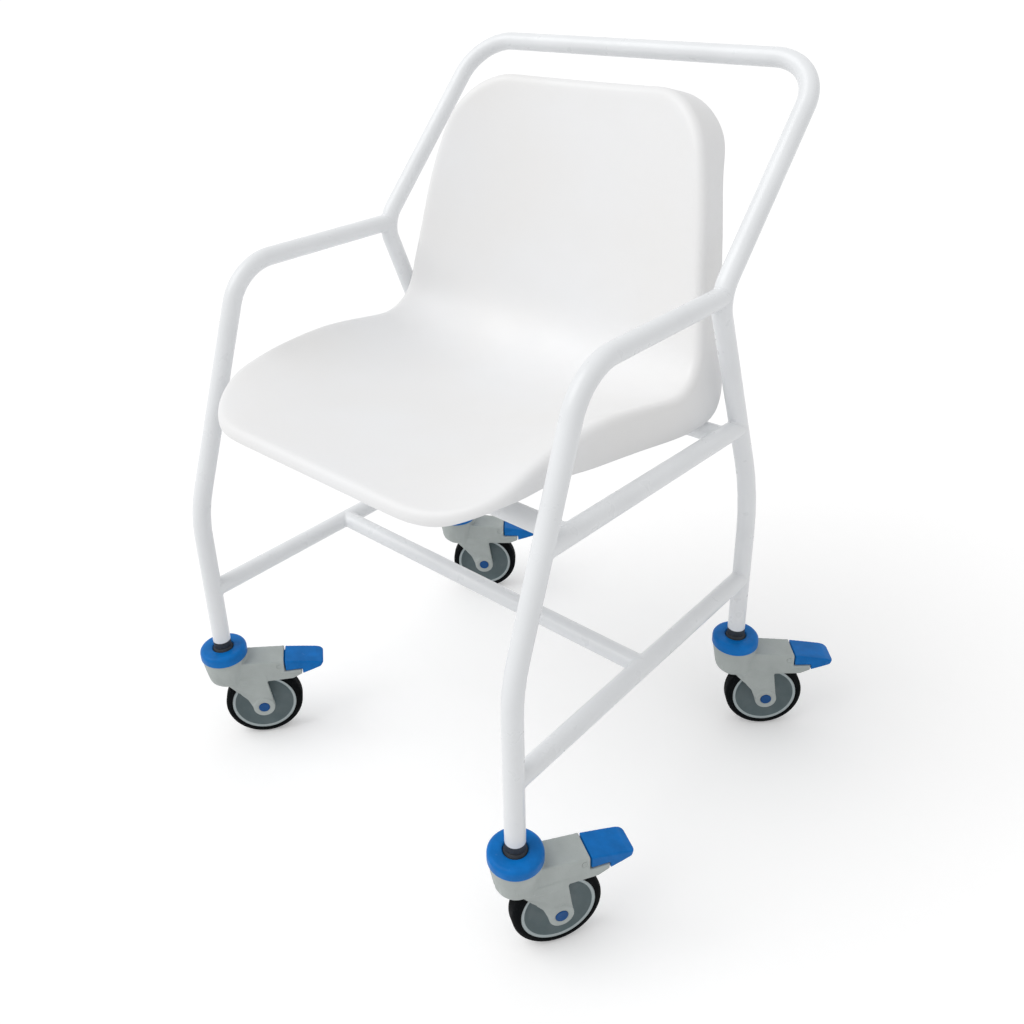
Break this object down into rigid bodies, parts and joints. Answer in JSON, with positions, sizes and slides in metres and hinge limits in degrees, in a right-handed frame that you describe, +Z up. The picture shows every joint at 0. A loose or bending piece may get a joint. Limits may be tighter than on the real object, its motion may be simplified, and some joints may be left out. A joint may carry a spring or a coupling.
{
  "type": "wheeled shower chair",
  "caption": "White tubular shower chair with a moulded seat and back shell, armrests, a push bar and swivelling castors with blue foot brakes.",
  "frame": {"origin": "on the floor, in the middle between the four castor stems", "axes": "+Z up, -Y towards the front edge of the seat, +X towards the sitter's left"},
  "size_m": [0.6356, 0.5718, 0.856],
  "materials": {
    "white_steel": "gloss",
    "white_plastic": "satin",
    "dark_plastic": "matte",
    "plated_steel": "satin",
    "brass_insert": "satin",
    "grey_plastic": "matte",
    "blue_plastic": "satin",
    "rim_plastic": "satin",
    "black_tyre": "matte"
  },
  "bodies": {
    "frame": {"rear_legs_and_push_handle_tube": "white_steel", "front_left_leg_and_arm_tube": "white_steel", "front_right_leg_and_arm_tube": "white_steel", "left_seat_rail": "white_steel", "right_seat_rail": "white_steel", "left_lower_rail": "white_steel", "right_lower_rail": "white_steel", "front_seat_cross_tube": "white_steel", "rear_seat_cross_tube": "white_steel", "lower_cross_tube": "white_steel", "seat_shell": "white_plastic", "seat_tube_saddles": "dark_plastic", "seat_screws": "plated_steel", "seat_screw_inserts": "brass_insert", "front_left_castor_expander": "dark_plastic", "front_left_castor_stem": "plated_steel", "front_right_castor_expander": "dark_plastic", "front_right_castor_stem": "plated_steel", "rear_left_castor_expander": "dark_plastic", "rear_left_castor_stem": "plated_steel", "rear_right_castor_expander": "dark_plastic", "rear_right_castor_stem": "plated_steel"},
    "front_left_fork": {"front_left_castor_housing": "grey_plastic", "front_left_swivel_bearing": "plated_steel", "front_left_ring_cap": "blue_plastic", "front_left_pedal_pin": "plated_steel", "front_left_axle_bolt": "plated_steel", "front_left_axle_caps": "blue_plastic"},
    "front_left_wheel": {"front_left_tyre": "black_tyre", "front_left_wheel_rim": "rim_plastic"},
    "front_left_pedal": {"front_left_brake_pedal": "blue_plastic"},
    "front_right_fork": {"front_right_castor_housing": "grey_plastic", "front_right_swivel_bearing": "plated_steel", "front_right_ring_cap": "blue_plastic", "front_right_pedal_pin": "plated_steel", "front_right_axle_bolt": "plated_steel", "front_right_axle_caps": "blue_plastic"},
    "front_right_wheel": {"front_right_tyre": "black_tyre", "front_right_wheel_rim": "rim_plastic"},
    "front_right_pedal": {"front_right_brake_pedal": "blue_plastic"},
    "rear_left_fork": {"rear_left_castor_housing": "grey_plastic", "rear_left_swivel_bearing": "plated_steel", "rear_left_ring_cap": "blue_plastic", "rear_left_pedal_pin": "plated_steel", "rear_left_axle_bolt": "plated_steel", "rear_left_axle_caps": "blue_plastic"},
    "rear_left_wheel": {"rear_left_tyre": "black_tyre", "rear_left_wheel_rim": "rim_plastic"},
    "rear_left_pedal": {"rear_left_brake_pedal": "blue_plastic"},
    "rear_right_fork": {"rear_right_castor_housing": "grey_plastic", "rear_right_swivel_bearing": "plated_steel", "rear_right_ring_cap": "blue_plastic", "rear_right_pedal_pin": "plated_steel", "rear_right_axle_bolt": "plated_steel", "rear_right_axle_caps": "blue_plastic"},
    "rear_right_wheel": {"rear_right_tyre": "black_tyre", "rear_right_wheel_rim": "rim_plastic"},
    "rear_right_pedal": {"rear_right_brake_pedal": "blue_plastic"}
  },
  "joints": [
    {"name": "front_left_swivel", "type": "hinge", "parent": "frame", "child": "front_left_fork", "pos_m": [0.25, -0.2216, 0.125], "axis": [0, 0, 1], "continuous": true},
    {"name": "front_left_wheel_spin", "type": "hinge", "parent": "front_left_fork", "child": "front_left_wheel", "pos_m": [0.27156, -0.18486, 0.05], "axis": [-0.8625, 0.506, 0], "continuous": true},
    {"name": "front_left_brake", "type": "hinge", "parent": "front_left_fork", "child": "front_left_pedal", "pos_m": [0.28492, -0.16209, 0.111], "axis": [0.8625, -0.506, 0], "range_deg": [0, 12]},
    {"name": "front_right_swivel", "type": "hinge", "parent": "frame", "child": "front_right_fork", "pos_m": [-0.25, -0.2216, 0.125], "axis": [0, 0, 1], "continuous": true},
    {"name": "front_right_wheel_spin", "type": "hinge", "parent": "front_right_fork", "child": "front_right_wheel", "pos_m": [-0.22313, -0.18854, 0.05], "axis": [-0.776, 0.6307, 0], "continuous": true},
    {"name": "front_right_brake", "type": "hinge", "parent": "front_right_fork", "child": "front_right_pedal", "pos_m": [-0.20648, -0.16805, 0.111], "axis": [0.776, -0.6307, 0], "range_deg": [0, 12]},
    {"name": "rear_left_swivel", "type": "hinge", "parent": "frame", "child": "rear_left_fork", "pos_m": [0.25, 0.2216, 0.125], "axis": [0, 0, 1], "continuous": true},
    {"name": "rear_left_wheel_spin", "type": "hinge", "parent": "rear_left_fork", "child": "rear_left_wheel", "pos_m": [0.282, 0.24972, 0.05], "axis": [-0.66, 0.7513, 0], "continuous": true},
    {"name": "rear_left_brake", "type": "hinge", "parent": "rear_left_fork", "child": "rear_left_pedal", "pos_m": [0.30184, 0.26714, 0.111], "axis": [0.66, -0.7513, 0], "range_deg": [0, 12]},
    {"name": "rear_right_swivel", "type": "hinge", "parent": "frame", "child": "rear_right_fork", "pos_m": [-0.25, 0.2216, 0.125], "axis": [0, 0, 1], "continuous": true},
    {"name": "rear_right_wheel_spin", "type": "hinge", "parent": "rear_right_fork", "child": "rear_right_wheel", "pos_m": [-0.21666, 0.24812, 0.05], "axis": [-0.6225, 0.7826, 0], "continuous": true},
    {"name": "rear_right_brake", "type": "hinge", "parent": "rear_right_fork", "child": "rear_right_pedal", "pos_m": [-0.196, 0.26455, 0.111], "axis": [0.6225, -0.7826, 0], "range_deg": [0, 12]}
  ]
}
